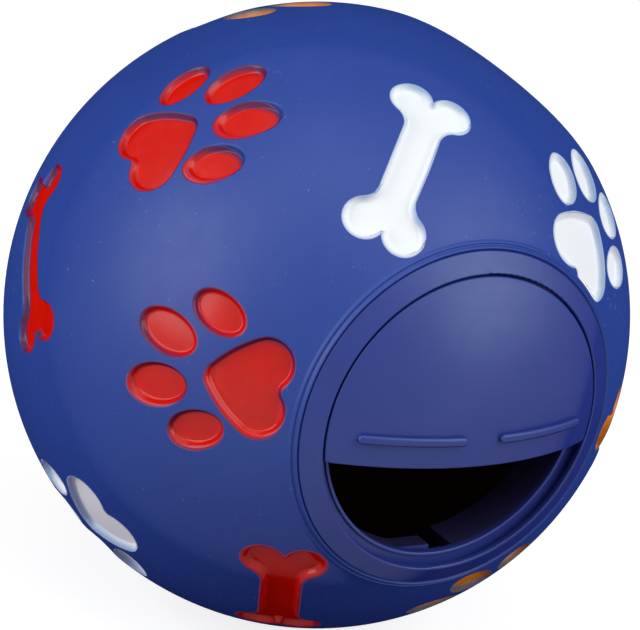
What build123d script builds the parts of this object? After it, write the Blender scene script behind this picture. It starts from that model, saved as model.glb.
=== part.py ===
from build123d import *
from math import acos, asin, atan2, cos, degrees, hypot, radians, sin, sqrt
import os

# A hollow treat ball with a snapped-in lid ring and a turning shutter.
# Millimetres, +Z up, origin at the centre of the ball, lid facing -Y.

# Ball
BALL_RADIUS = 55.0
WALL = 3.5

# Lid, motifs and bead keep their share of the ball: one unit is 1 mm on a ball of 55 mm radius
UNIT = BALL_RADIUS / 55
BEAD_WIDTH = 1.4 * UNIT
BEAD_HEIGHT = 0.4 * UNIT

# Sunken motifs and their paint, which end a margin short of the bead
RECESS_DEPTH = 1.3
RECESS_MARGIN = 0.5
PAINT_THICKNESS = 0.1
PAINT_CLEARANCE = 0.02

# Paw: one pad and four toes, toes towards +v
PAD_LOBE_RADIUS = 4.5 * UNIT
PAD_LOBE_U = 4.0 * UNIT
PAD_LOBE_V = -9.5 * UNIT
PAD_TIP_RADIUS = 2.4 * UNIT
PAD_TIP_V = 0.4 * UNIT
PAD_SIDE_RADIUS = 24.0 * UNIT
PAD_NOTCH_RADIUS = 1.4 * UNIT
OUTER_TOE_LENGTH = 9.8 * UNIT
OUTER_TOE_WIDTH = 6.4 * UNIT
OUTER_TOE_U = 10.0 * UNIT
OUTER_TOE_V = 0.6 * UNIT
OUTER_TOE_LEAN = 21.0
INNER_TOE_LENGTH = 11.0 * UNIT
INNER_TOE_WIDTH = 7.0 * UNIT
INNER_TOE_U = 4.5 * UNIT
INNER_TOE_V = 8.6 * UNIT
INNER_TOE_LEAN = 13.0

# Bone: two lobes at each end of a straight shaft along v
BONE_LOBE_RADIUS = 3.4 * UNIT
BONE_LOBE_U = 3.65 * UNIT
BONE_LOBE_V = 13.0 * UNIT
BONE_SHAFT_WIDTH = 5.8 * UNIT
BONE_SHAFT_FILLET = 4.0 * UNIT
BONE_NOTCH_RADIUS = 0.5 * UNIT

# Lid ring, measured from the lid axis
BEZEL_RADIUS = 29.8 * UNIT
BEZEL_PROUD = 0.2
EDGE_FILLET = 0.25
BEZEL_WIDTH = 3.5
REBATE_RADIUS = BEZEL_RADIUS - BEZEL_WIDTH
LEDGE_DEPTH = 2.3
LEDGE_THICKNESS = 1.1
LEDGE_WIDTH = 2.0
MOUTH_RADIUS = REBATE_RADIUS - LEDGE_WIDTH
MOUTH_RIM_WIDTH = 0.7
MOUTH_RIM_HEIGHT = 0.4
MOUTH_RIM_FILLET = 0.25
TRACK_DEPTH = 0.8
TRACK_HEIGHT = 1.2
COLLAR_THICKNESS = 1.7
COLLAR_LENGTH = 7.1
SEAT_CLEARANCE = 0.2
COLLAR_CLEARANCE = 0.3

# Fingers of the collar, parted by slots: short ones with a flat rest and long ones with a barb take turns
SLOT_COUNT = 4
SLOT_WIDTH = 4.2
FIRST_SLOT = -84.0
REST_RISE = 0.8
BARB_REACH = 1.4
BARB_HEIGHT = 2.6
BARB_CLEARANCE = 0.1
BARB_SPAN = 60.0

# Fixed half dome behind the shutter
BAFFLE_THICKNESS = 1.6
BAFFLE_LAP = 2.0

# Shutter
SHUTTER_THICKNESS = 1.8
SHUTTER_DROP = 5.0
SHUTTER_CORNER = 2.0
RIM_CLEARANCE = 0.3
TONGUE_CLEARANCE = 0.2
TONGUE_REACH_CLEARANCE = 0.3
DOME_CLEARANCE = 0.4
SKIRT_WIDTH = 0.6
GRIP_START = 3.2 * UNIT
GRIP_MARGIN = 2.5
GRIP_END = MOUTH_RADIUS - GRIP_MARGIN
GRIP_WIDTH = 1.6
GRIP_HEIGHT = 0.9
GRIP_FILLET = 0.5

# Each motif: name, shape, azimuth and elevation of its middle, turn of its v axis from north towards east,
# laid out round a lid that reaches this far from its axis, bead included
LAYOUT_LID_REACH = 31.4 * UNIT
MOTIFS = [
    ("red_paw_1", "paw", -75.0, 47.0, 31.0),
    ("red_paw_2", "paw", -50.0, 6.5, -89.0),
    ("red_paw_3", "paw", 104.0, 6.0, 20.0),
    ("red_paw_4", "paw", -144.0, -31.0, 150.0),
    ("red_bone_1", "bone", -100.0, 10.5, -40.0),
    ("red_bone_2", "bone", -31.0, -42.0, -3.0),
    ("red_bone_3", "bone", 98.0, 54.0, 60.0),
    ("white_paw_1", "paw", 38.3, 32.6, 67.0),
    ("white_paw_2", "paw", -84.0, -39.0, -129.0),
    ("white_paw_3", "paw", 153.0, 22.0, -60.0),
    ("white_bone_1", "bone", -15.0, 49.0, 25.0),
    ("white_bone_2", "bone", 99.0, -42.0, -35.0),
    ("white_bone_3", "bone", -153.0, 16.0, 75.0),
    ("orange_paw_1", "paw", 28.0, -43.5, -86.0),
    ("orange_paw_2", "paw", -160.0, 65.0, -27.0),
    ("orange_paw_3", "paw", -170.0, -81.0, 0.0),
    ("orange_bone_1", "bone", 49.5, -17.0, 150.0),
    ("orange_bone_2", "bone", 159.0, -27.0, 40.0),
]

# Heights along the lid axis, from the centre of the ball
LID_PLANE = Plane(origin=(0, 0, 0), x_dir=(1, 0, 0), z_dir=(0, -1, 0))
INNER_RADIUS = BALL_RADIUS - WALL
BEZEL_SPHERE = BALL_RADIUS + BEZEL_PROUD
LEDGE_Z = sqrt(BEZEL_SPHERE**2 - REBATE_RADIUS**2) - LEDGE_DEPTH
SEAT_Z = LEDGE_Z - LEDGE_THICKNESS
NECK_Z = SEAT_Z - WALL
COLLAR_END_Z = SEAT_Z - COLLAR_LENGTH
SEAT_RADIUS = BEZEL_RADIUS + SEAT_CLEARANCE
COLLAR_RADIUS = MOUTH_RADIUS + COLLAR_THICKNESS
NECK_RADIUS = COLLAR_RADIUS + COLLAR_CLEARANCE
TRACK_RADIUS = REBATE_RADIUS + TRACK_DEPTH
DOME_INNER = BALL_RADIUS - SHUTTER_THICKNESS
BAFFLE_SPHERE = DOME_INNER - DOME_CLEARANCE
LID_ANGLE = degrees(asin((SEAT_RADIUS + BEAD_WIDTH) / BALL_RADIUS))
LAYOUT_LID_ANGLE = degrees(asin(LAYOUT_LID_REACH / BALL_RADIUS))
FINGER_STEP = 360 / SLOT_COUNT
FAR = 2 * BALL_RADIUS
TOOL_REACH = (0.85, 1.1)


def sphere_height(radius, reach):
    """Height of a sphere of this radius at a distance from its axis."""
    return sqrt(radius**2 - reach**2)


def level_sphere(radius):
    """Sphere with its poles to the sides of the lid axis, so that no seam crosses a dome."""
    return Rot(0, 90, 0) * Sphere(radius)


def disc(radius, bottom):
    """Round block on the lid axis, from a height to well above the ball."""
    return Pos(0, 0, bottom) * Cylinder(radius, FAR, align=(Align.CENTER, Align.CENTER, Align.MIN))


def below(edge):
    """Wide block on the -y side of an edge across the lid."""
    return Pos(0, edge, 0) * Box(FAR, FAR, FAR, align=(Align.CENTER, Align.MAX, Align.CENTER))


def arc_between(centre, radius, start, end):
    """Counter-clockwise arc from the bearing of one point to that of another."""
    first = degrees(atan2(start[1] - centre[1], start[0] - centre[0]))
    last = degrees(atan2(end[1] - centre[1], end[0] - centre[0]))
    return CenterArc(centre, radius, first, (last - first) % 360)


def towards(start, end, distance):
    """Point at a distance from start on the way to end."""
    length = hypot(end[0] - start[0], end[1] - start[1])
    return (
        start[0] + (end[0] - start[0]) * distance / length,
        start[1] + (end[1] - start[1]) * distance / length,
    )


def toe_outline(length, width, grow):
    """Oval toe, larger by grow all round."""
    return Ellipse(width / 2 + grow, length / 2 + grow)


def pad_outline(grow):
    """Heart-shaped pad: two lobes, a round tip towards the toes, bowed sides and a soft notch."""
    lobe = (PAD_LOBE_U, PAD_LOBE_V)
    tip = (0, PAD_TIP_V - PAD_TIP_RADIUS)
    notch_reach = PAD_LOBE_RADIUS + PAD_NOTCH_RADIUS
    notch = (0, PAD_LOBE_V - sqrt(notch_reach**2 - PAD_LOBE_U**2))
    # The bowed side is a large circle touching lobe and tip from outside
    to_lobe = PAD_SIDE_RADIUS - PAD_LOBE_RADIUS
    to_tip = PAD_SIDE_RADIUS - PAD_TIP_RADIUS
    span = hypot(lobe[0] - tip[0], lobe[1] - tip[1])
    bearing = atan2(lobe[1] - tip[1], lobe[0] - tip[0])
    swing = acos((to_tip**2 + span**2 - to_lobe**2) / (2 * to_tip * span))
    side = (tip[0] + to_tip * cos(bearing - swing), tip[1] + to_tip * sin(bearing - swing))
    lobe_notch = towards(lobe, notch, PAD_LOBE_RADIUS + grow)
    lobe_side = towards(side, lobe, PAD_SIDE_RADIUS + grow)
    tip_side = towards(side, tip, PAD_SIDE_RADIUS + grow)
    tip_top = (0, PAD_TIP_V + grow)
    notch_top = (0, notch[1] + PAD_NOTCH_RADIUS - grow)
    half = Curve() + [
        arc_between(notch, PAD_NOTCH_RADIUS - grow, lobe_notch, notch_top),
        arc_between(lobe, PAD_LOBE_RADIUS + grow, lobe_notch, lobe_side),
        arc_between(side, PAD_SIDE_RADIUS + grow, lobe_side, tip_side),
        arc_between(tip, PAD_TIP_RADIUS + grow, tip_side, tip_top),
    ]
    return make_face(half + mirror(half, about=Plane.YZ))


def bone_outline(grow):
    """Bone: four lobes joined to a straight shaft by fillets, with a soft notch at each end."""
    half_width = BONE_SHAFT_WIDTH / 2
    lobe = (BONE_LOBE_U, BONE_LOBE_V)
    notch_reach = BONE_LOBE_RADIUS + BONE_NOTCH_RADIUS
    notch = (0, BONE_LOBE_V + sqrt(notch_reach**2 - BONE_LOBE_U**2))
    fillet_u = half_width + BONE_SHAFT_FILLET
    fillet_reach = BONE_LOBE_RADIUS + BONE_SHAFT_FILLET
    neck = (fillet_u, BONE_LOBE_V - sqrt(fillet_reach**2 - (fillet_u - BONE_LOBE_U) ** 2))
    lobe_notch = towards(lobe, notch, BONE_LOBE_RADIUS + grow)
    lobe_neck = towards(lobe, neck, BONE_LOBE_RADIUS + grow)
    shaft_top = (half_width + grow, neck[1])
    notch_low = (0, notch[1] - BONE_NOTCH_RADIUS + grow)
    quarter = Curve() + [
        arc_between(notch, BONE_NOTCH_RADIUS - grow, notch_low, lobe_notch),
        arc_between(lobe, BONE_LOBE_RADIUS + grow, lobe_neck, lobe_notch),
        arc_between(neck, BONE_SHAFT_FILLET - grow, lobe_neck, shaft_top),
        Line(shaft_top, (half_width + grow, 0)),
    ]
    half = quarter + mirror(quarter, about=Plane.XZ)
    return make_face(half + mirror(half, about=Plane.YZ))


def turned(plane, about, angle):
    """Plane through the ball's centre, turned about a direction."""
    axis = Axis((0, 0, 0), about)
    x_dir = plane.x_dir.rotate(axis, angle)
    return Plane(origin=(0, 0, 0), x_dir=x_dir, z_dir=plane.z_dir.rotate(axis, angle))


def motif_plane(azimuth, elevation, turn):
    """Plane through the ball's centre whose normal points at the motif and whose y axis is the motif's v axis.
    A lid wider than the layout's pushes the motif back, by its share of the way to the far side of the ball."""
    facing, tilt = radians(azimuth), radians(elevation)
    normal = Vector(sin(facing) * cos(tilt), -cos(facing) * cos(tilt), sin(tilt))
    east = Vector(cos(facing), sin(facing), 0)
    plane = Plane(origin=(0, 0, 0), x_dir=east.rotate(Axis((0, 0, 0), normal), -turn), z_dir=normal)
    to_back = 180 - LID_PLANE.z_dir.get_angle(normal)
    push = (LID_ANGLE - LAYOUT_LID_ANGLE) * to_back / (180 - LAYOUT_LID_ANGLE)
    return turned(plane, LID_PLANE.z_dir.cross(normal), push)


def walk(plane, u, v):
    """Plane moved over the ball by u and v, keeping its heading."""
    way = plane.x_dir * u + plane.y_dir * v
    return turned(plane, plane.z_dir.cross(way), degrees(hypot(u, v) / BALL_RADIUS))


def radial_tool(plane, outline):
    """Solid with walls running to the ball's centre, reaching from well inside the wall to above the ball."""
    sections = [plane.offset(BALL_RADIUS * k) * scale(outline, k) for k in TOOL_REACH]
    return loft(sections, ruled=True)


def motif_tools(shape, azimuth, elevation, turn, grow):
    """Cutting tools of one motif, one for each separate hollow, clear of the lid and its bead."""
    plane = motif_plane(azimuth, elevation, turn)
    if shape == "bone":
        tools = [radial_tool(plane, bone_outline(grow))]
    else:
        tools = [radial_tool(plane, pad_outline(grow))]
        outer = toe_outline(OUTER_TOE_LENGTH, OUTER_TOE_WIDTH, grow)
        inner = toe_outline(INNER_TOE_LENGTH, INNER_TOE_WIDTH, grow)
        for side in (1, -1):
            place = walk(plane, side * OUTER_TOE_U, OUTER_TOE_V)
            tools.append(radial_tool(place, Rot(0, 0, -side * OUTER_TOE_LEAN) * outer))
            place = walk(plane, side * INNER_TOE_U, INNER_TOE_V)
            tools.append(radial_tool(place, Rot(0, 0, -side * INNER_TOE_LEAN) * inner))
    lid_room = LID_PLANE * disc(SEAT_RADIUS + BEAD_WIDTH + RECESS_MARGIN - grow, 0)
    return [tool - lid_room for tool in tools]


def ball_shell():
    """Hollow ball with a flat seat and a neck for the lid ring, a bead round the seat and the sunken motifs."""
    chamber = Sphere(INNER_RADIUS) - disc(BALL_RADIUS, NECK_Z)
    body = Sphere(BALL_RADIUS) - chamber
    bead_middle = SEAT_RADIUS + BEAD_WIDTH / 2
    bead_drop = BEAD_WIDTH / 2 - BEAD_HEIGHT
    bead = Pos(0, 0, sphere_height(BALL_RADIUS, bead_middle) - bead_drop) * Torus(bead_middle, BEAD_WIDTH / 2)
    body += bead
    body -= disc(SEAT_RADIUS, SEAT_Z)
    body -= disc(NECK_RADIUS, NECK_Z - WALL)
    body = LID_PLANE * body
    floor = Sphere(BALL_RADIUS - RECESS_DEPTH)
    hollows = [tool - floor for motif in MOTIFS for tool in motif_tools(*motif[1:], 0)]
    return body - hollows


def paint(motif):
    """Coats of paint on the floors of one motif."""
    low = BALL_RADIUS - RECESS_DEPTH + PAINT_CLEARANCE
    film = Sphere(low + PAINT_THICKNESS) - Sphere(low)
    return Compound([(tool & film).solid() for tool in motif_tools(*motif[1:], -PAINT_CLEARANCE)])


def lid_ring():
    """Bezel, ledge, track and collar turned in one, with snap fingers and the fixed half dome."""
    rim_z = LEDGE_Z + MOUTH_RIM_HEIGHT
    rim_radius = MOUTH_RADIUS + MOUTH_RIM_WIDTH
    lip_z = LEDGE_Z + TRACK_HEIGHT
    crown_in = (REBATE_RADIUS, sphere_height(BEZEL_SPHERE, REBATE_RADIUS))
    crown_out = (BEZEL_RADIUS, sphere_height(BEZEL_SPHERE, BEZEL_RADIUS))
    section = Polyline(
        crown_out,
        (BEZEL_RADIUS, SEAT_Z),
        (COLLAR_RADIUS, SEAT_Z),
        (COLLAR_RADIUS, COLLAR_END_Z),
        (MOUTH_RADIUS, COLLAR_END_Z),
        (MOUTH_RADIUS, rim_z),
        (rim_radius, rim_z),
        (rim_radius, LEDGE_Z),
        (TRACK_RADIUS, LEDGE_Z),
        (TRACK_RADIUS, lip_z),
        (REBATE_RADIUS, lip_z),
        crown_in,
    )
    face = make_face(section + RadiusArc(crown_in, crown_out, BEZEL_SPHERE))
    face = rounded(face, [crown_in, crown_out], EDGE_FILLET)
    face = rounded(face, [(MOUTH_RADIUS, rim_z), (rim_radius, rim_z)], MOUTH_RIM_FILLET)
    body = revolve(Plane.XZ * face, Axis.Z)
    body -= finger_gaps()
    body += snap_barbs() + finger_rests()
    body += baffle()
    return LID_PLANE * body


def rounded(face, points, radius):
    """Face with its corners at these points rounded."""
    corners = [face.vertices().sort_by_distance((*point, 0))[0] for point in points]
    return fillet(corners, radius)


def over_finger(section, index, span):
    """Section turned over the middle of a finger; fingers are counted clockwise from the first slot."""
    start = FIRST_SLOT - (index + 0.5) * FINGER_STEP - span / 2
    return Rot(0, 0, start) * revolve(Plane.XZ * section, Axis.Z, span)


def finger_gaps():
    """Slots right through the collar, and the room below the short fingers, which end with the ball's wall."""
    reach = COLLAR_RADIUS + BARB_REACH
    slot = Pos(reach, 0, SEAT_Z - COLLAR_LENGTH / 2) * Box(reach, SLOT_WIDTH, COLLAR_LENGTH)
    slots = [Rot(0, 0, FIRST_SLOT + index * FINGER_STEP) * slot for index in range(SLOT_COUNT)]
    room = Pos(COLLAR_RADIUS, NECK_Z) * Rectangle(COLLAR_RADIUS, FAR / 2, align=(Align.CENTER, Align.MAX))
    return slots + [over_finger(room, index, FINGER_STEP) for index in range(0, SLOT_COUNT, 2)]


def finger_rests():
    """Flat rests inside the short fingers, beside their slots."""
    corner = Pos(0, REST_RISE - MOUTH_RADIUS) * Rectangle(FAR, FAR, align=(Align.MAX, Align.MAX))
    plan = Circle(MOUTH_RADIUS + COLLAR_THICKNESS / 2) & corner
    rest = Pos(0, 0, NECK_Z) * extrude(plan, WALL)
    return [Rot(0, 0, index * FINGER_STEP) * rest for index in range(0, SLOT_COUNT, 2)]


def snap_barbs():
    """Barbs behind the ball's wall, on the long fingers."""
    catch_z = NECK_Z - BARB_CLEARANCE
    root = COLLAR_RADIUS - COLLAR_THICKNESS / 2
    barb = Polyline(
        (root, catch_z),
        (COLLAR_RADIUS + BARB_REACH, catch_z),
        (COLLAR_RADIUS, catch_z - BARB_HEIGHT),
        (root, catch_z - BARB_HEIGHT),
        close=True,
    )
    return [over_finger(make_face(barb), index, BARB_SPAN) for index in range(1, SLOT_COUNT, 2)]


def baffle():
    """Fixed half dome that closes the upper part of the mouth behind the shutter."""
    dome = Sphere(BAFFLE_SPHERE) - Sphere(BAFFLE_SPHERE - BAFFLE_THICKNESS)
    dome &= disc(MOUTH_RADIUS + MOUTH_RIM_WIDTH, 0)
    return dome - below(BAFFLE_LAP - SHUTTER_DROP)


def shutter():
    """Domed cover with a straight edge, a tongue running in the track and two grip ribs."""
    rim = REBATE_RADIUS - RIM_CLEARANCE
    foot_z = LEDGE_Z + TONGUE_CLEARANCE
    tongue_z = LEDGE_Z + TRACK_HEIGHT - TONGUE_CLEARANCE
    tongue = TRACK_RADIUS - TONGUE_REACH_CLEARANCE
    block = Polyline(
        (0, foot_z),
        (tongue, foot_z),
        (tongue, tongue_z),
        (rim, tongue_z),
        (rim, BALL_RADIUS),
        (0, BALL_RADIUS),
        close=True,
    )
    body = revolve(Plane.XZ * make_face(block), Axis.Z) & level_sphere(BALL_RADIUS)
    body -= level_sphere(DOME_INNER) & disc(rim - SKIRT_WIDTH, 0)
    plan = Circle(tongue) - Pos(0, -SHUTTER_DROP) * Rectangle(FAR, FAR, align=(Align.CENTER, Align.MAX))
    body &= extrude(fillet(plan.vertices(), SHUTTER_CORNER), FAR)
    dome = body.faces().filter_by(GeomType.SPHERE).sort_by(Axis.Z)[-1]
    body = fillet(dome.edges(), EDGE_FILLET)
    return LID_PLANE * (body + grips())


def grips():
    """Two rounded ribs along the middle of the shutter, following its dome."""
    crest = BALL_RADIUS + GRIP_HEIGHT
    half_width = GRIP_WIDTH / 2
    ribs = []
    for side in (1, -1):
        profile = SlotOverall(GRIP_END - GRIP_START, GRIP_WIDTH)
        post = extrude(Pos(side * (GRIP_START + GRIP_END) / 2, 0, 0) * profile, crest + half_width)
        rib = post & (Sphere(crest) - Sphere(DOME_INNER + SHUTTER_THICKNESS / 2))
        top = rib.faces().filter_by(GeomType.SPHERE).sort_by(Axis.Z)[-1]
        ribs.append(fillet(top.edges(), GRIP_FILLET))
    return ribs


def save(shape, name):
    """Write one node."""
    export_step(shape, f"parts/{name}.step")


os.makedirs("parts", exist_ok=True)
save(ball_shell(), "ball_shell")
save(lid_ring(), "lid_ring")
save(shutter(), "shutter")
for motif in MOTIFS:
    save(paint(motif), f"paint_{motif[0]}")
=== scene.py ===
from math import acos, atan2, ceil, cos, hypot, pi, radians, sin, sqrt

import bmesh
import bpy
import numpy as np
from mathutils import Matrix, Quaternion, Vector
from mathutils.geometry import delaunay_2d_cdt


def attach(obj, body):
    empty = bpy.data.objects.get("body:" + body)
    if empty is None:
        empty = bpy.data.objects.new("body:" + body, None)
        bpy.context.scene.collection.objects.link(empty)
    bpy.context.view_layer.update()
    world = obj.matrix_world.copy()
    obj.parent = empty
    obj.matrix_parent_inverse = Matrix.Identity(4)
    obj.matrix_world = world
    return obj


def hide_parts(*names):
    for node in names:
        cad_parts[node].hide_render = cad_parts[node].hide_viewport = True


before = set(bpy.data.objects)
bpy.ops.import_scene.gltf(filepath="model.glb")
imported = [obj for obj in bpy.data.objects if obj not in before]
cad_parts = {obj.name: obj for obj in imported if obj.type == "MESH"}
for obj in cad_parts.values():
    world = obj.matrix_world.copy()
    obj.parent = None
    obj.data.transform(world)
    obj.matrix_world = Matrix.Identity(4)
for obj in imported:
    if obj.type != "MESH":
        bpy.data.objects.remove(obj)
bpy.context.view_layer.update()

# Lengths of the part are millimetres, in its own frame: +Z up, lid facing -Y, origin at the ball's centre.
MM = 0.001
SEED = 7
TINY = 1e-9

# Ball
BALL_RADIUS = 55.0
WALL = 3.5
INNER_RADIUS = BALL_RADIUS - WALL
SEAT_RADIUS = 29.84
SEAT_HEIGHT = 45.132
NECK_RADIUS = 26.3
NECK_HEIGHT = SEAT_HEIGHT - WALL

# Bead round the lid: its outer foot, and radius, half width and height of its two ridges
BEAD_FOOT = 31.4
BEAD_RIDGES = ((31.0, 0.40, 0.28), (30.26, 0.42, 0.45))
BEAD_STEPS = 24

# A soft dent in the upper right of the ball
DENT_CENTRE = Vector((0.567, -0.014, 0.823)).normalized()
DENT_REACH = radians(25.0)
DENT_DEPTH = 1.5

# Wall of a sunken motif: rolled lip outside the outline, sloping side, rolled foot inside it
LIP_OUT = 0.40
FOOT_IN = 0.85
FLOOR_DEPTH = 1.2

# Hollows end this far from the lid axis, with an eased end. Points well clear of that end stay in place.
HOLLOW_REACH = 31.9
HOLLOW_EASE = 0.2
HOLLOW_CLEAR = 4.0

# Paint: a film that a mask let through. The masks sat off to one side, so that the paint runs over some lips,
# and the walls across are bare or only caught a thin mist of it, whose colour is darkened as painted shade of
# the walls.
PAINT_THICKNESS = 0.06
PAINT_GAP = 0.004

# Width over which the paint thins at the mask's edge, and how far the mist, darkened with painted shade,
# reaches past it, up to a place on the wall between its lip (0) and its foot (1)
PAINT_SOFT = 1.1
SHADED_MIST_REACH = 0.8
SHADED_MIST_EDGE = 0.1

# Random slip of each hole in a mask, and unevenness of its edge
MASK_SLIP = 0.1
MASK_WANDER = 0.06
WANDER_WAVES = (2, 3, 5, 8, 13)

# Spacing and counts of mesh points
WALL_RINGS = 10
PAINT_RINGS = 8
OUTLINE_STEP = 0.45
FLOOR_STEP = 0.7
SPHERE_STEP = 1.5
LIP_MARGIN = 0.9
RING_COUNT = 320
INNER_RINGS = 40

# Paw: one pad and four toes, toes towards +v
PAD_LOBE = (4.0, -9.5)
PAD_LOBE_RADIUS = 4.5
PAD_TIP_RADIUS = 2.4
PAD_TIP_V = 0.4
PAD_SIDE_RADIUS = 24.0
PAD_NOTCH_RADIUS = 1.4
OUTER_TOE = {"size": (6.4, 9.8), "at": (10.0, 0.6), "lean": 21.0}
INNER_TOE = {"size": (7.0, 11.0), "at": (4.5, 8.6), "lean": 13.0}

# Bone: two lobes at each end of a straight shaft along v
BONE_LOBE = (3.65, 13.0)
BONE_LOBE_RADIUS = 3.4
BONE_SHAFT_WIDTH = 5.8
BONE_SHAFT_FILLET = 4.0
BONE_NOTCH_RADIUS = 0.5

# Each motif: name, shape, azimuth and elevation of its middle, turn of its v axis from north towards east,
# and how far its mask drifted towards east and north and was larger all round
MOTIFS = [
    ("red_paw_1", "paw", -75.0, 47.0, 31.0, (-0.35, -0.95, -0.2)),
    ("red_paw_2", "paw", -50.0, 6.5, -89.0, (0.0, 0.0, -0.1)),
    ("red_paw_3", "paw", 104.0, 6.0, 20.0, (0.4, -0.3, -0.15)),
    ("red_paw_4", "paw", -144.0, -31.0, 150.0, (0.3, 0.4, -0.15)),
    ("red_bone_1", "bone", -100.0, 10.5, -40.0, (0.85, 0.35, -0.15)),
    ("red_bone_2", "bone", -31.0, -42.0, -3.0, (0.0, 0.0, 0.45)),
    ("red_bone_3", "bone", 98.0, 54.0, 60.0, (-0.4, 0.2, -0.15)),
    ("white_paw_1", "paw", 38.3, 32.6, 67.0, (-0.5, 0.1, 0.1)),
    ("white_paw_2", "paw", -84.0, -39.0, -129.0, (0.4, 0.15, -0.15)),
    ("white_paw_3", "paw", 153.0, 22.0, -60.0, (-0.3, -0.4, -0.15)),
    ("white_bone_1", "bone", -15.0, 49.0, 25.0, (-0.2, -0.4, 0.2)),
    ("white_bone_2", "bone", 99.0, -42.0, -35.0, (0.4, 0.3, -0.15)),
    ("white_bone_3", "bone", -153.0, 16.0, 75.0, (0.2, -0.5, -0.15)),
    ("orange_paw_1", "paw", 28.0, -43.5, -86.0, (0.15, 0.3, -0.35)),
    ("orange_paw_2", "paw", -160.0, 65.0, -27.0, (0.15, 0.15, -0.2)),
    ("orange_paw_3", "paw", -170.0, -81.0, 0.0, (0.2, 0.3, -0.15)),
    ("orange_bone_1", "bone", 49.5, -17.0, 150.0, (0.5, 0.0, -0.3)),
    ("orange_bone_2", "bone", 159.0, -27.0, 40.0, (-0.3, 0.4, -0.15)),
]

# Further drift of the holes of a stretched mask, towards east and north: pad, then the outer and inner toe
# of each side
STRETCHED_MASKS = {
    "red_paw_1": ((0.2, 0.45), (0.0, 0.0), (0.0, 0.0), (0.3, 0.65), (0.3, 0.65)),
    "red_paw_2": ((-0.15, -0.55), (0.35, 0.25), (0.3, 0.15), (0.0, -0.6), (-0.3, -0.45)),
}


# Outlines: rows of u, v and the outward normal, counter-clockwise


def arc(centre, radius, start, end, hollow=False):
    """Rows along an arc between two angles. On a hollow arc the outline's outside is the arc's middle."""
    count = max(4, ceil(radius * abs(end - start) / OUTLINE_STEP))
    angles = np.linspace(start, end, count + 1)
    ray = np.column_stack((np.cos(angles), np.sin(angles)))
    return np.hstack((np.array(centre) + radius * ray, -ray if hollow else ray))


def mirrored(rows, column):
    """Rows reflected in u (column 0) or v (column 1), in the opposite order."""
    flipped = rows[::-1].copy()
    flipped[:, [column, column + 2]] *= -1
    return flipped


def joined(*runs):
    """One closed outline from runs that each start where the last one ends."""
    return np.vstack([run[:-1] for run in runs])


def bearing(start, end):
    return atan2(end[1] - start[1], end[0] - start[0])


def toe_outline(width, length):
    count = ceil(pi * (width + length) / 2 / OUTLINE_STEP)
    angles = np.linspace(0, 2 * pi, count, endpoint=False)
    normal = np.column_stack((np.cos(angles) * length, np.sin(angles) * width))
    normal /= np.linalg.norm(normal, axis=1)[:, None]
    return np.hstack((np.column_stack((np.cos(angles) * width / 2, np.sin(angles) * length / 2)), normal))


def pad_outline():
    """Heart-shaped pad: two lobes, a round tip towards the toes, bowed sides and a soft notch."""
    tip = (0, PAD_TIP_V - PAD_TIP_RADIUS)
    notch_reach = PAD_LOBE_RADIUS + PAD_NOTCH_RADIUS
    notch = (0, PAD_LOBE[1] - sqrt(notch_reach**2 - PAD_LOBE[0] ** 2))
    to_lobe = PAD_SIDE_RADIUS - PAD_LOBE_RADIUS
    to_tip = PAD_SIDE_RADIUS - PAD_TIP_RADIUS
    span = hypot(PAD_LOBE[0] - tip[0], PAD_LOBE[1] - tip[1])
    swing = acos((to_tip**2 + span**2 - to_lobe**2) / (2 * to_tip * span))
    way = bearing(tip, PAD_LOBE) - swing
    side = (tip[0] + to_tip * cos(way), tip[1] + to_tip * sin(way))
    half = np.vstack(
        (
            arc(notch, PAD_NOTCH_RADIUS, pi / 2, bearing(notch, PAD_LOBE), hollow=True)[:-1],
            arc(PAD_LOBE, PAD_LOBE_RADIUS, bearing(PAD_LOBE, notch), bearing(side, PAD_LOBE))[:-1],
            arc(side, PAD_SIDE_RADIUS, bearing(side, PAD_LOBE), bearing(side, tip))[:-1],
            arc(tip, PAD_TIP_RADIUS, bearing(side, tip), pi / 2),
        )
    )
    return joined(half, mirrored(half, 0))


def bone_outline():
    """Bone: four lobes joined to a straight shaft by fillets, with a soft notch at each end."""
    half_width = BONE_SHAFT_WIDTH / 2
    notch_reach = BONE_LOBE_RADIUS + BONE_NOTCH_RADIUS
    notch = (0, BONE_LOBE[1] + sqrt(notch_reach**2 - BONE_LOBE[0] ** 2))
    fillet_u = half_width + BONE_SHAFT_FILLET
    fillet_reach = BONE_LOBE_RADIUS + BONE_SHAFT_FILLET
    neck = (fillet_u, BONE_LOBE[1] - sqrt(fillet_reach**2 - (fillet_u - BONE_LOBE[0]) ** 2))
    count = ceil(neck[1] / OUTLINE_STEP)
    shaft = np.array([(half_width, v, 1.0, 0.0) for v in np.linspace(0, neck[1], count + 1)])
    quarter = np.vstack(
        (
            shaft[:-1],
            arc(neck, BONE_SHAFT_FILLET, pi, bearing(neck, BONE_LOBE), hollow=True)[:-1],
            arc(BONE_LOBE, BONE_LOBE_RADIUS, bearing(BONE_LOBE, neck), bearing(BONE_LOBE, notch))[:-1],
            arc(notch, BONE_NOTCH_RADIUS, bearing(notch, BONE_LOBE), -pi / 2, hollow=True),
        )
    )
    upper = np.vstack((quarter[:-1], mirrored(quarter, 0)))
    return joined(upper, mirrored(upper, 1))


OUTLINES = {
    "pad": pad_outline(),
    "outer": toe_outline(*OUTER_TOE["size"]),
    "inner": toe_outline(*INNER_TOE["size"]),
    "bone": bone_outline(),
}


# Sunken motifs on the ball


def motif_axes(azimuth, elevation, turn):
    """Middle direction, u direction and v direction of a motif."""
    facing = radians(azimuth)
    tilt = radians(elevation)
    normal = Vector((sin(facing) * cos(tilt), -cos(facing) * cos(tilt), sin(tilt)))
    across = Quaternion(normal, -radians(turn)) @ Vector((cos(facing), sin(facing), 0))
    return normal, across, normal.cross(across)


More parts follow.
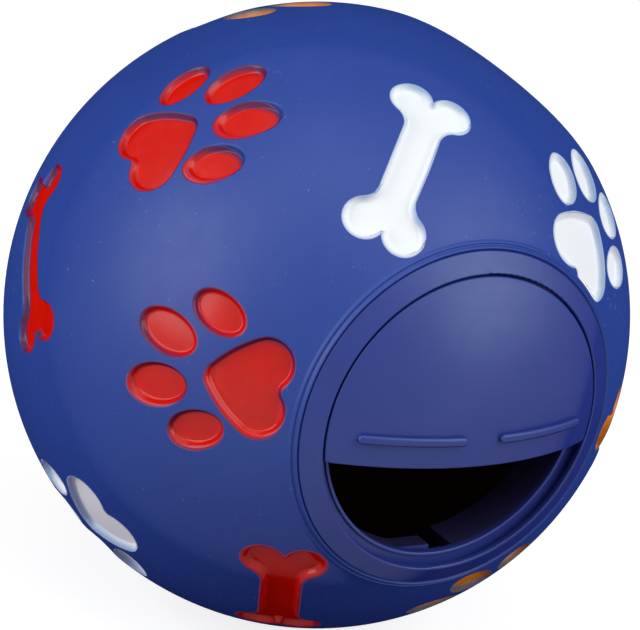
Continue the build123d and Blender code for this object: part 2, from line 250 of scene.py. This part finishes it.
def walk(axes, u, v, lean):
    """Axes moved over the ball by u and v, then turned by lean."""
    normal, across, along = axes
    way = across * u + along * v
    step = Quaternion(normal.cross(way), hypot(u, v) / BALL_RADIUS)
    moved = step @ normal
    turned = Quaternion(moved, radians(lean)) @ (step @ across)
    return moved, turned, moved.cross(turned)


def motif_hollows(shape, azimuth, elevation, turn):
    """The separate hollows of one motif: outline name and axes."""
    axes = motif_axes(azimuth, elevation, turn)
    if shape == "bone":
        return [("bone", axes)]
    hollows = [("pad", axes)]
    for side in (1, -1):
        for kind, toe in (("outer", OUTER_TOE), ("inner", INNER_TOE)):
            u, v = toe["at"]
            hollows.append((kind, walk(axes, side * u, v, -side * toe["lean"])))
    return hollows


HOLLOWS = {motif[0]: motif_hollows(*motif[1:5]) for motif in MOTIFS}


def on_ball(axes, flat, depth):
    """Points at a depth under the ball's surface, above flat u, v points of a hollow."""
    normal, across, along = (np.array(axis) for axis in axes)
    ray = BALL_RADIUS * normal + flat[:, :1] * across + flat[:, 1:2] * along
    ray /= np.linalg.norm(ray, axis=1)[:, None]
    return ray * (BALL_RADIUS - np.broadcast_to(depth, len(flat)))[:, None]


def flattened(axes, points):
    """The u, v points of a hollow under points in space, and whether they are on its side of the ball."""
    normal, across, along = (np.array(axis) for axis in axes)
    height = points @ normal
    facing = height > np.linalg.norm(points, axis=1) / 2
    scale = BALL_RADIUS / np.where(facing, height, 1.0)
    return np.column_stack((points @ across * scale, points @ along * scale)), facing


def clear_of_lid(points, reach):
    """Points near the lid moved over the ball, so that they end about this far from its axis."""
    size = np.linalg.norm(points, axis=1)
    now = np.hypot(points[:, 0], points[:, 2])
    over = now - reach
    near = (points[:, 1] < 0) & (over < HOLLOW_CLEAR)
    then = np.where(near, reach + (over + np.hypot(over, HOLLOW_EASE)) / 2, now)
    share = then / np.maximum(now, TINY)
    height = np.where(near, -np.sqrt(np.maximum(size**2 - then**2, 0)), points[:, 1])
    return np.column_stack((points[:, 0] * share, height, points[:, 2] * share))


def ease(t):
    return t * t * (3 - 2 * t)


def wall_profile(t):
    """Offset from the outline and depth of a hollow's wall, from lip (0) to floor (1).
    Below 0 it goes on over the ball, outside the lip."""
    return LIP_OUT - (LIP_OUT + FOOT_IN) * t, FLOOR_DEPTH * ease(ease(np.clip(t, 0, 1)))


def wall_open_side(t):
    """Unit step away from the wall, as offset and depth."""
    near = 0.001
    low = wall_profile(t - near)
    high = wall_profile(t + near)
    run = high[0] - low[0]
    drop = high[1] - low[1]
    length = np.hypot(run, drop)
    return -drop / length, run / length


def wall_points(kind, axes, t, lift=0.0):
    """Points along a hollow's outline at wall position t, lifted off the wall."""
    rows = OUTLINES[kind]
    offset, depth = wall_profile(t)
    out, down = wall_open_side(t)
    grow = np.broadcast_to(offset + out * lift, len(rows))
    points = on_ball(axes, rows[:, :2] + grow[:, None] * rows[:, 2:], depth + down * lift)
    return clear_of_lid(points, HOLLOW_REACH - grow)


# Meshes


def inside(loop, points):
    """Whether flat points lie inside a closed loop."""
    result = np.zeros(len(points), bool)
    for (u0, v0), (u1, v1) in zip(loop, np.roll(loop, -1, axis=0)):
        crosses = (v0 > points[:, 1]) != (v1 > points[:, 1])
        if crosses.any():
            cut = u0 + (points[:, 1] - v0) * (u1 - u0) / (v1 - v0 if v1 != v0 else 1.0)
            result ^= crosses & (points[:, 0] < cut)
    return result


def distance(loop, points):
    """Distance of flat points from the nearest point of a loop."""
    nearest = np.full(len(points), np.inf)
    for point in loop:
        nearest = np.minimum(nearest, np.hypot(*(points - point).T))
    return nearest


def triangles(points, loops):
    """Triangles over flat points that keep the edges of closed loops, given as lists of point numbers."""
    edges = [(a, b) for loop in loops for a, b in zip(loop, loop[1:] + loop[:1])]
    found = delaunay_2d_cdt([Vector(p) for p in points], edges, [], 0, TINY)
    source = [numbers[0] for numbers in found[3]]
    return [[source[corner] for corner in face] for face in found[2]]


def floor_fill(rows):
    """Inner points of a hollow's floor, and triangles over the edge points followed by the inner ones."""
    edge = rows[:, :2] - FOOT_IN * rows[:, 2:]
    low = edge.min(axis=0)
    high = edge.max(axis=0)
    row_step = FLOOR_STEP * sqrt(3) / 2
    grid = []
    for number, v in enumerate(np.arange(low[1], high[1], row_step)):
        start = low[0] + FLOOR_STEP / 2 * (number % 2)
        grid.extend((u, v) for u in np.arange(start, high[0], FLOOR_STEP))
    grid = np.array(grid)
    inner = grid[inside(edge, grid) & (distance(edge, grid) > FLOOR_STEP / 2)]
    points = np.vstack((edge, inner))
    faces = triangles(points, [list(range(len(edge)))])
    middles = np.array([points[face].mean(axis=0) for face in faces])
    return inner, [face for face, keep in zip(faces, inside(edge, middles)) if keep]


FLOORS = {kind: floor_fill(rows) for kind, rows in OUTLINES.items()}


class Skin:
    """Points and faces of a mesh as it grows."""

    def __init__(self):
        self.points = []
        self.faces = []

    def add(self, points):
        start = len(self.points)
        self.points.extend(points)
        return list(range(start, len(self.points)))

    def bridge(self, first, second):
        """Quads between two closed loops with as many points each."""
        for i in range(len(first)):
            j = (i + 1) % len(first)
            self.faces.append((first[i], first[j], second[j], second[i]))

    def cap(self, loop, middle):
        for i in range(len(loop)):
            self.faces.append((loop[i], loop[(i + 1) % len(loop)], middle))

    def floor(self, kind, axes, edge, depth):
        """Floor of a hollow, from its edge loop inwards."""
        inner, faces = FLOORS[kind]
        numbers = edge + self.add(clear_of_lid(on_ball(axes, inner, depth), HOLLOW_REACH + FOOT_IN))
        self.faces.extend(tuple(numbers[corner] for corner in face) for face in faces)

    def build(self, name):
        """Object of this mesh, with the dent pressed in, faces turned outwards and smooth shading."""
        mesh = bpy.data.meshes.new(name)
        mesh.from_pydata(dented(np.array(self.points)) * MM, [], self.faces)
        work = bmesh.new()
        work.from_mesh(mesh)
        bmesh.ops.recalc_face_normals(work, faces=work.faces)
        work.to_mesh(mesh)
        work.free()
        mesh.shade_smooth()
        piece = bpy.data.objects.new(name, mesh)
        bpy.context.scene.collection.objects.link(piece)
        return piece


def dented(points):
    """Points moved towards the ball's centre inside the dent."""
    ray = points / np.maximum(np.linalg.norm(points, axis=1), TINY)[:, None]
    angle = np.arccos(np.clip(ray @ np.array(DENT_CENTRE), -1, 1))
    push = DENT_DEPTH * ease(np.clip(1 - angle / DENT_REACH, 0, 1))
    return points - ray * push[:, None]


def ring(radius, height):
    """Circle of points round the lid axis, at a height towards the lid."""
    angles = np.linspace(0, 2 * pi, RING_COUNT, endpoint=False)
    level = np.full(RING_COUNT, -height)
    return np.column_stack((radius * np.cos(angles), level, radius * np.sin(angles)))


def bead_section():
    """Radius and height along the bead, from the ball's surface to the wall of the lid's seat."""
    section = []
    for reach in np.linspace(BEAD_FOOT, SEAT_RADIUS, BEAD_STEPS):
        height = sqrt(BALL_RADIUS**2 - reach**2)
        for middle, half_width, rise in BEAD_RIDGES:
            off = min(1.0, abs(reach - middle) / half_width)
            height += rise * cos(pi / 2 * off) ** 2
        section.append((reach, height))
    return section


def flat_map(points):
    """Ball surface laid flat, seen from the middle of the lid, which lands far outside."""
    ray = points / np.linalg.norm(points, axis=1)[:, None]
    return ray[:, [0, 2]] / (1 + ray[:, 1:2])


def sphere_points(count):
    """Evenly spread points on the ball."""
    index = np.arange(count) + 0.5
    height = 1 - 2 * index / count
    turn = pi * (1 + sqrt(5)) * index
    reach = np.sqrt(1 - height**2)
    return BALL_RADIUS * np.column_stack((reach * np.cos(turn), reach * np.sin(turn), height))


def outer_surface(skin, lips, rim):
    """Ball surface between the lips of the hollows and the foot of the bead."""
    spread = sphere_points(int(4 * pi * (BALL_RADIUS / SPHERE_STEP) ** 2))
    spread = spread[spread[:, 1] > -sqrt(BALL_RADIUS**2 - (BEAD_FOOT + LIP_MARGIN) ** 2)]
    for axes, loop in lips:
        lip, _ = flattened(axes, np.array([skin.points[n] for n in loop]))
        flat, facing = flattened(axes, spread)
        near = facing & (np.hypot(*flat.T) < np.hypot(*lip.T).max() + LIP_MARGIN)
        blocked = near.copy()
        blocked[near] = inside(lip, flat[near]) | (distance(lip, flat[near]) < LIP_MARGIN)
        spread = spread[~blocked]
    numbers = rim + [n for _, loop in lips for n in loop] + skin.add(spread)
    place = {number: index for index, number in enumerate(numbers)}
    points = np.array([skin.points[n] for n in numbers])
    loops = [[place[n] for n in loop] for loop in [rim] + [lip[1] for lip in lips]]
    faces = [[numbers[corner] for corner in face] for face in triangles(flat_map(points), loops)]
    owner = {n: index for index, lip in enumerate(lips) for n in lip[1]}
    owner.update({n: -1 for n in rim})
    for face in faces:
        owners = {owner.get(n) for n in face}
        if len(owners) == 1 and None not in owners and over_gap(skin, lips, owners.pop(), face):
            continue
        skin.faces.append(tuple(face))


def over_gap(skin, lips, owner, face):
    """Whether a face whose corners are all on one lip lies over its hollow."""
    if owner < 0:
        return False
    axes, loop = lips[owner]
    lip, _ = flattened(axes, np.array([skin.points[n] for n in loop]))
    middle = np.mean([skin.points[n] for n in face], axis=0)
    flat, _ = flattened(axes, middle[None, :])
    return inside(lip, flat)[0]


def inner_surface(skin, rim):
    """Bead, seat, neck and inside of the ball, as rings round the lid axis from the foot of the bead."""
    chamber_edge = sqrt(INNER_RADIUS**2 - NECK_HEIGHT**2)
    section = bead_section()[1:]
    section += [(SEAT_RADIUS, SEAT_HEIGHT), (NECK_RADIUS, SEAT_HEIGHT), (NECK_RADIUS, NECK_HEIGHT)]
    start = atan2(chamber_edge, NECK_HEIGHT)
    for angle in np.linspace(start, pi, INNER_RINGS)[:-1]:
        section.append((INNER_RADIUS * sin(angle), INNER_RADIUS * cos(angle)))
    loop = rim
    for radius, height in section:
        following = skin.add(ring(radius, height))
        skin.bridge(loop, following)
        loop = following
    skin.cap(loop, skin.add([(0.0, INNER_RADIUS, 0.0)])[0])


def make_shell():
    """The ball, with sunken motifs, a bead round the lid, the lid's seat and a hollow inside."""
    skin = Skin()
    lips = []
    for hollows in HOLLOWS.values():
        for kind, axes in hollows:
            loops = [skin.add(wall_points(kind, axes, t)) for t in np.linspace(0, 1, WALL_RINGS)]
            for first, second in zip(loops, loops[1:]):
                skin.bridge(first, second)
            skin.floor(kind, axes, loops[-1], FLOOR_DEPTH)
            lips.append((axes, loops[0]))
    rim = skin.add(ring(*bead_section()[0]))
    outer_surface(skin, lips, rim)
    inner_surface(skin, rim)
    return skin.build("ball")


def wander(count, chance):
    """Smooth random wave round a closed loop, from about -1 to 1."""
    angles = np.linspace(0, 2 * pi, count, endpoint=False)
    total = np.zeros(count)
    for waves in WANDER_WAVES:
        total += chance.normal() * np.sin(waves * angles + chance.uniform(0, 2 * pi)) / sqrt(waves)
    return np.clip(total, -2, 2) / 2


def mask_cover(axes, mask, points):
    """How fully paint covers points, from not at all (0) to fully (1) inside the mask's edge."""
    flat, _ = flattened(axes, points)
    away = distance(mask, flat) * np.where(inside(mask, flat), 1, -1)
    return ease(np.clip(0.5 + away / PAINT_SOFT, 0, 1))


def make_coat(name, hollows, drifts, grow, chance):
    """Paint of one motif: a thin closed film in each hollow, as far as its mask and its overspray reached,
    the overspray darkened as painted shade.
    """
    skin = Skin()
    cover = []
    for (kind, axes), drift in zip(hollows, drifts):
        rows = OUTLINES[kind]
        shift = np.array((drift.dot(axes[1]), drift.dot(axes[2]))) + MASK_SLIP * chance.normal(size=2)
        reach = rows[:, 2:] @ shift + grow + MASK_WANDER * wander(len(rows), chance)
        thinned = (LIP_OUT - reach - PAINT_SOFT / 4) / (LIP_OUT + FOOT_IN)
        shaded_mist_start = (LIP_OUT - reach - SHADED_MIST_REACH) / (LIP_OUT + FOOT_IN)
        edge = np.minimum(thinned, np.maximum(shaded_mist_start, SHADED_MIST_EDGE))
        start = len(skin.points)
        borders = []
        for lift in (PAINT_THICKNESS, PAINT_GAP):
            loops = []
            for share in np.linspace(0, 1, PAINT_RINGS):
                rise = PAINT_GAP + (lift - PAINT_GAP) * ease(share)
                loops.append(skin.add(wall_points(kind, axes, edge + (1 - edge) * share, rise)))
            for first, second in zip(loops, loops[1:]):
                skin.bridge(first, second)
            skin.floor(kind, axes, loops[-1], FLOOR_DEPTH - lift)
            borders.append(loops[0])
        skin.bridge(*borders)
        mask = rows[:, :2] + reach[:, None] * rows[:, 2:]
        cover.extend(mask_cover(axes, mask, np.array(skin.points[start:])))
    coat = skin.build(f"coat_{name}")
    coat.data.attributes.new("cover", "FLOAT", "POINT").data.foreach_set("value", cover)
    return coat


# Materials

# Most of a noise's values lie between these
NOISE_SPAN = (0.3, 0.7)

VINYL_TONE = (0.027, 0.063, 0.312)
VINYL_PALER = (0.029, 0.068, 0.326)
VINYL_SPECK = (0.30, 0.36, 0.60)
VINYL_SCUFF = (0.20, 0.25, 0.48)

# Dust of treats on the ball's inner skin, fading out between two heights over it
TREAT_DUST = (0.30, 0.20, 0.11)
DUST_TOP = (0.1, 0.4)

LID_TONE = (0.023, 0.039, 0.238)
LID_PALER = (0.027, 0.044, 0.252)
LID_SHEEN = (0.75, 0.92, 1.0)
# Painted shade: the dark brown-black given to the walls deep in the mouth
LID_MOUTH_SHADE = (0.024, 0.015, 0.012)

# Heights above the ball's centre, towards the lid, between which the walls in the mouth turn dark with
# painted shade
MOUTH_SHADE_START = 46.2
MOUTH_SHADE_FULL = 45.0

# The floor: size in metres, colour as it lights the ball, and what is seen of it, a shaded grey and a glow
FLOOR_SIZE = 6.0
FLOOR_BOUNCE = (0.30, 0.235, 0.29)
FLOOR_SHADED = (0.45, 0.45, 0.45)
FLOOR_GLOW = 0.80


def new_material(name):
    material = bpy.data.materials.new(name)
    material.use_nodes = True
    tree = material.node_tree
    return material, tree, tree.nodes["Principled BSDF"]


def add_noise(tree, size, detail):
    """Noise over the surface with features of a size in millimetres."""
    place = tree.nodes.new("ShaderNodeTexCoord")
    noise = tree.nodes.new("ShaderNodeTexNoise")
    noise.inputs["Scale"].default_value = 1 / (size * MM)
    noise.inputs["Detail"].default_value = detail
    tree.links.new(place.outputs["Object"], noise.inputs["Vector"])
    return noise.outputs["Fac"]


def add_range(tree, value, span, to_low=0.0, to_high=1.0):
    """Value from one span spread over another, and held at its ends."""
    spread = tree.nodes.new("ShaderNodeMapRange")
    for socket, number in zip(("From Min", "From Max", "To Min", "To Max"), (*span, to_low, to_high)):
        spread.inputs[socket].default_value = number
    tree.links.new(value, spread.inputs["Value"])
    return spread.outputs["Result"]


def add_mix(tree, factor, first, second):
    """Colour between two colours, each a colour or another node's output."""
    mix = tree.nodes.new("ShaderNodeMix")
    mix.data_type = "RGBA"
    tree.links.new(factor, mix.inputs["Factor"])
    for name, colour in (("A", first), ("B", second)):
        socket = next(s for s in mix.inputs if s.name == name and s.type == "RGBA")
        if isinstance(colour, tuple):
            socket.default_value = (*colour, 1)
        else:
            tree.links.new(colour, socket)
    return next(s for s in mix.outputs if s.type == "RGBA")


def add_sum(tree, first, second):
    total = tree.nodes.new("ShaderNodeMath")
    total.operation = "ADD"
    total.use_clamp = True
    tree.links.new(first, total.inputs[0])
    tree.links.new(second, total.inputs[1])
    return total.outputs[0]


def add_bump(tree, shader, height, depth, strength):
    """Bump of a depth in millimetres."""
    bump = tree.nodes.new("ShaderNodeBump")
    bump.inputs["Distance"].default_value = depth * MM
    bump.inputs["Strength"].default_value = strength
    tree.links.new(height, bump.inputs["Height"])
    tree.links.new(bump.outputs["Normal"], shader.inputs["Normal"])


def add_soft_gloss(tree, shader, gloss, near, far):
    """Gloss that fades away towards the edge of what is seen, as on soft matt skin."""
    facing = tree.nodes.new("ShaderNodeLayerWeight")
    fading = add_range(tree, facing.outputs["Facing"], (near, far), gloss, 0.0)
    tree.links.new(fading, shader.inputs["Specular IOR Level"])


def vinyl():
    """Soft blue vinyl, cloudy and of uneven sheen, with pale specks, scuffs where worn and dust inside."""
    material, tree, shader = new_material("ball_vinyl")
    add_soft_gloss(tree, shader, gloss=0.3, near=0.1, far=0.5)
    clouds = add_range(tree, add_noise(tree, size=14.0, detail=3.0), NOISE_SPAN)
    base = add_mix(tree, clouds, VINYL_TONE, VINYL_PALER)
    specks = add_range(tree, add_noise(tree, size=0.55, detail=1.0), (0.76, 0.80), to_high=0.45)
    dusted = add_mix(tree, specks, base, VINYL_SPECK)
    worn = add_range(tree, add_noise(tree, size=30.0, detail=1.0), (0.55, 0.7))
    scuffs = add_range(tree, add_noise(tree, size=1.1, detail=6.0), (0.62, 0.72), to_high=0.3)
    outside = add_mix(tree, worn, dusted, add_mix(tree, scuffs, dusted, VINYL_SCUFF))
    place = tree.nodes.new("ShaderNodeTexCoord")
    from_middle = tree.nodes.new("ShaderNodeVectorMath")
    from_middle.operation = "LENGTH"
    tree.links.new(place.outputs["Object"], from_middle.inputs[0])
    inner_skin = [(INNER_RADIUS + top) * MM for top in DUST_TOP]
    beyond = add_range(tree, from_middle.outputs["Value"], inner_skin)
    tree.links.new(add_mix(tree, beyond, TREAT_DUST, outside), shader.inputs["Base Color"])
    sheen = add_range(tree, add_noise(tree, size=3.0, detail=4.0), NOISE_SPAN, 0.38, 0.46)
    tree.links.new(sheen, shader.inputs["Roughness"])
    add_bump(tree, shader, add_noise(tree, size=0.9, detail=3.0), depth=0.02, strength=0.35)
    return material


def lid_plastic():
    """Hard indigo plastic with faint flow marks and a fine grain, its walls deep in the mouth darkened with
    painted shade.
    """
    material, tree, shader = new_material("lid_plastic")
    add_soft_gloss(tree, shader, gloss=0.5, near=0.15, far=0.55)
    shader.inputs["Specular Tint"].default_value = (*LID_SHEEN, 1)
    flow = add_range(tree, add_noise(tree, size=9.0, detail=2.0), NOISE_SPAN)
    unshaded = add_mix(tree, flow, LID_TONE, LID_PALER)
    place = tree.nodes.new("ShaderNodeTexCoord")
    split = tree.nodes.new("ShaderNodeSeparateXYZ")
    tree.links.new(place.outputs["Object"], split.inputs["Vector"])
    # Painted shade: walls deep in the mouth that don't face out of it are mixed towards a dark brown-black
    inner = add_range(tree, split.outputs["Y"], (-MOUTH_SHADE_START * MM, -MOUTH_SHADE_FULL * MM), to_high=0.75)
    mouth_shaded = add_mix(tree, inner, unshaded, LID_MOUTH_SHADE)
    slope = tree.nodes.new("ShaderNodeSeparateXYZ")
    tree.links.new(place.outputs["Normal"], slope.inputs["Vector"])
    upright = add_range(tree, slope.outputs["Y"], (-0.9, -0.5))
    tree.links.new(add_mix(tree, upright, unshaded, mouth_shaded), shader.inputs["Base Color"])
    sheen = add_range(tree, add_noise(tree, size=2.0, detail=4.0), NOISE_SPAN, 0.37, 0.45)
    tree.links.new(sheen, shader.inputs["Roughness"])
    add_bump(tree, shader, add_noise(tree, size=0.5, detail=2.0), depth=0.012, strength=0.3)
    return material


def paint(name, mist_and_shade, thin, thick, relief):
    """Glossy sprayed-in paint, a little uneven in thickness and colour, that thins to an overspray on the
    vinyl, darker than thin paint as painted shade of the hollows' walls.
    """
    material, tree, shader = new_material(f"paint_{name}")
    add_soft_gloss(tree, shader, gloss=0.3, near=0.1, far=0.5)
    pools = add_range(tree, add_noise(tree, size=3.5, detail=3.0), NOISE_SPAN)
    cover = tree.nodes.new("ShaderNodeAttribute")
    cover.attribute_name = "cover"
    spray = add_range(tree, add_noise(tree, size=0.25, detail=2.0), NOISE_SPAN, -0.06, 0.06)
    full = add_range(tree, add_sum(tree, cover.outputs["Fac"], spray), (0.1, 0.9))
    # Where the cover thins, the colour goes to the mist: overspray on the vinyl, darkened as painted shade
    colour = add_mix(tree, full, mist_and_shade, add_mix(tree, pools, thin, thick))
    tree.links.new(colour, shader.inputs["Base Color"])
    sheen = add_range(tree, add_noise(tree, size=1.8, detail=3.0), NOISE_SPAN, 0.18, 0.24)
    tree.links.new(sheen, shader.inputs["Roughness"])
    add_bump(tree, shader, add_noise(tree, size=1.6, detail=2.0), depth=0.03, strength=relief)
    return material


def add_seen(tree):
    """One where a surface is seen, straight, in a reflection or through something clear, and zero where it
    only lights others."""
    path = tree.nodes.new("ShaderNodeLightPath")
    total = path.outputs["Is Camera Ray"]
    for kind in ("Is Glossy Ray", "Is Transmission Ray"):
        total = add_sum(tree, total, path.outputs[kind])
    return total


def stage_floor():
    """Pale floor, white to the eye, that keeps the shadow."""
    material = bpy.data.materials.new("floor")
    material.use_nodes = True
    tree = material.node_tree
    tree.nodes.clear()
    output = tree.nodes.new("ShaderNodeOutputMaterial")
    seen = tree.nodes.new("ShaderNodeMixShader")
    bounce = tree.nodes.new("ShaderNodeBsdfDiffuse")
    bounce.inputs["Color"].default_value = (*FLOOR_BOUNCE, 1)
    shaded = tree.nodes.new("ShaderNodeBsdfDiffuse")
    shaded.inputs["Color"].default_value = (*FLOOR_SHADED, 1)
    glow = tree.nodes.new("ShaderNodeEmission")
    glow.inputs["Strength"].default_value = FLOOR_GLOW
    both = tree.nodes.new("ShaderNodeAddShader")
    tree.links.new(shaded.outputs[0], both.inputs[0])
    tree.links.new(glow.outputs[0], both.inputs[1])
    tree.links.new(add_seen(tree), seen.inputs["Fac"])
    tree.links.new(bounce.outputs[0], seen.inputs[1])
    tree.links.new(both.outputs[0], seen.inputs[2])
    tree.links.new(seen.outputs[0], output.inputs["Surface"])
    return material


# Pieces on the frame

ball = make_shell()
ball.data.materials.append(vinyl())
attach(ball, "ball")
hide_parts("ball_shell")

# Each paint: its colours as a mist darkened with painted shade, where thin and where thick, and its
# unevenness
PAINTS = {
    "red": paint("red", (0.11, 0.020, 0.10), (0.63, 0.006, 0.002), (0.71, 0.009, 0.003), 0.15),
    "white": paint("white", (0.30, 0.42, 0.66), (0.90, 0.95, 0.98), (0.91, 0.95, 0.98), 0.04),
    "orange": paint("orange", (0.13, 0.11, 0.12), (0.74, 0.23, 0.010), (0.86, 0.30, 0.012), 0.15),
}
chance = np.random.default_rng(SEED)
for name, _, azimuth, elevation, _, (to_east, to_north, grow) in MOTIFS:
    colour = name.split("_")[0]
    _, east, north = motif_axes(azimuth, elevation, 0.0)
    drifts = []
    for more_east, more_north in STRETCHED_MASKS.get(name, ((0.0, 0.0),) * len(HOLLOWS[name])):
        drifts.append(east * (to_east + more_east) + north * (to_north + more_north))
    coat = make_coat(name, HOLLOWS[name], drifts, grow, chance)
    coat.data.materials.append(PAINTS[colour])
    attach(coat, "ball")
    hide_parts(f"paint_{name}")

plastic = lid_plastic()
for node in ("lid_ring", "shutter"):
    lid_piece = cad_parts[node]
    lid_piece.data.materials.clear()
    lid_piece.data.materials.append(plastic)

# Camera at the photograph's viewing angle, in metres, with a sensor and a lens in millimetres

VIEW_FROM = Vector((-0.515, -0.786, 0.342)).normalized()
VIEW_RIGHT = Vector((0.856, -0.495, 0.151))
VIEW_DISTANCE = 0.6
SENSOR_WIDTH = 36.0
LENS = 191.6
SHIFT_RIGHT = 0.0051

right = (VIEW_RIGHT - VIEW_FROM * VIEW_RIGHT.dot(VIEW_FROM)).normalized()
up = VIEW_FROM.cross(right)
camera_data = bpy.data.cameras.new("camera")
camera_data.sensor_width = SENSOR_WIDTH
camera_data.lens = LENS
camera_data.shift_x = SHIFT_RIGHT
camera = bpy.data.objects.new("camera", camera_data)
turn = Matrix((right, up, VIEW_FROM)).transposed().to_4x4()
camera.matrix_world = Matrix.Translation(VIEW_FROM * VIEW_DISTANCE) @ turn
bpy.context.scene.collection.objects.link(camera)
bpy.context.scene.camera = camera

# Soft studio light, placed as seen from the camera, in metres and watts

SKY_LIGHT = 0.04
SKY_SEEN = 1.0


def softbox(name, towards, away, size, power):
    """Square soft lamp that faces the ball, placed towards the right, the top and the camera."""
    lamp = bpy.data.lights.new(name, "AREA")
    lamp.shape = "SQUARE"
    lamp.size = size
    lamp.energy = power
    way = (right * towards[0] + up * towards[1] + VIEW_FROM * towards[2]).normalized()
    box = bpy.data.objects.new(name, lamp)
    box.location = way * away
    box.rotation_euler = way.to_track_quat("Z", "Y").to_euler()
    bpy.context.scene.collection.objects.link(box)


softbox("left_softbox", (-0.75, 0.33, 0.56), away=0.8, size=0.65, power=4.8)
softbox("right_softbox", (0.888, 0.28, 0.44), away=0.8, size=0.7, power=4.9)
softbox("front_softbox", (0.1, 0.8, 0.65), away=1.0, size=0.9, power=3.0)

world = bpy.data.worlds.new("studio")
world.use_nodes = True
tree = world.node_tree
background = tree.nodes["Background"]
strength = add_range(tree, add_seen(tree), (0.0, 1.0), SKY_LIGHT, SKY_SEEN)
tree.links.new(strength, background.inputs["Strength"])
background.inputs["Color"].default_value = (1, 1, 1, 1)
bpy.context.scene.world = world

bpy.ops.mesh.primitive_plane_add(size=FLOOR_SIZE, location=(0, 0, -BALL_RADIUS * MM))
floor = bpy.context.object
floor.name = "floor"
floor.data.materials.append(stage_floor())

bpy.context.scene.view_settings.view_transform = "Standard"
